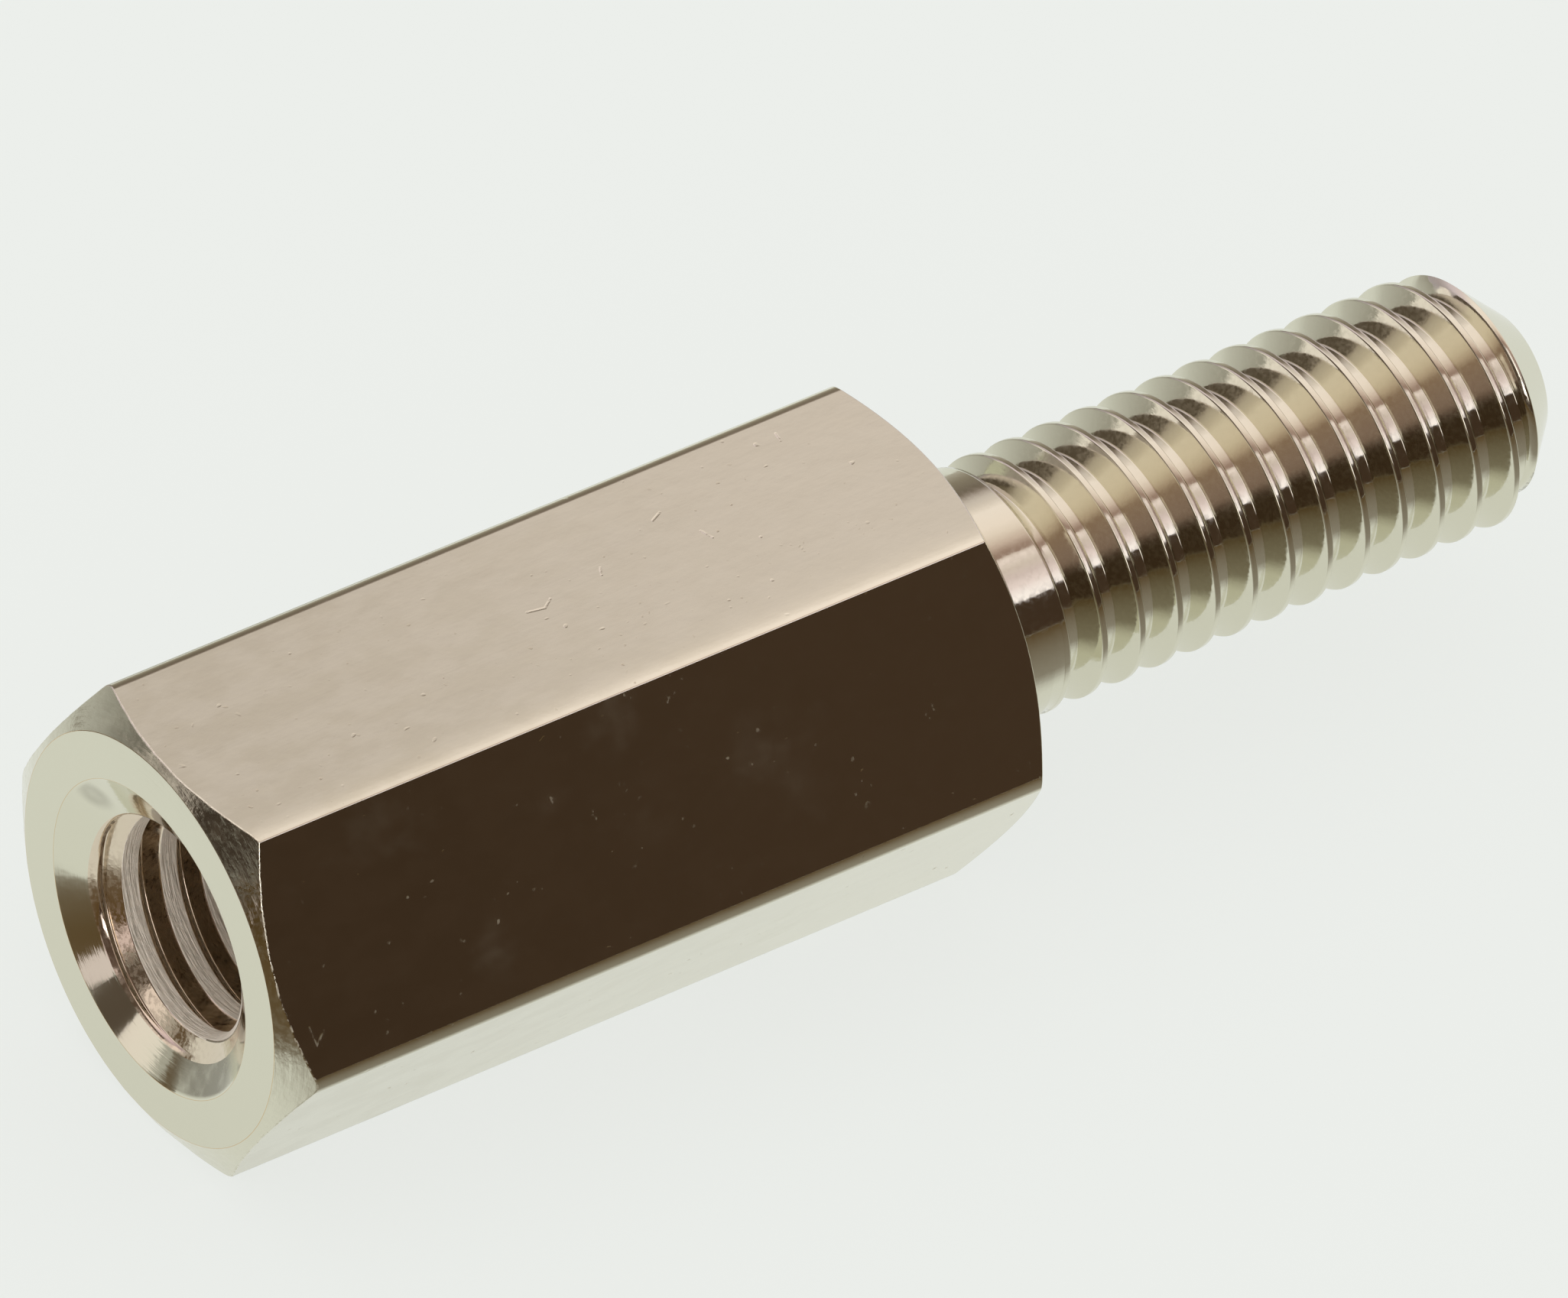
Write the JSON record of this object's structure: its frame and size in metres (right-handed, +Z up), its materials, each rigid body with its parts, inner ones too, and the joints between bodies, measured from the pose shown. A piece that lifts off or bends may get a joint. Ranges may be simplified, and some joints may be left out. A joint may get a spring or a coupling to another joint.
{
  "type": "hex standoff",
  "caption": "Hexagon standoff turned from plated brass, with a countersunk tapped hole in one end and a threaded stud on the other, to hold a board at a set distance from a panel.",
  "frame": {"origin": "under the middle of the overall length, below the axis, on the surface that the part lies on", "axes": "+X along the axis from the tapped end to the stud, +Z up from the flat that the part lies on, +Y across the hexagon's corners"},
  "size_m": [0.018, 0.0058, 0.005],
  "materials": {
    "nickel_plate": "bright nickel plating on brass, with fine handling marks, small pits and faint drawing lines"
  },
  "bodies": {
    "root": {"standoff": "nickel_plate"}
  },
  "joints": []
}
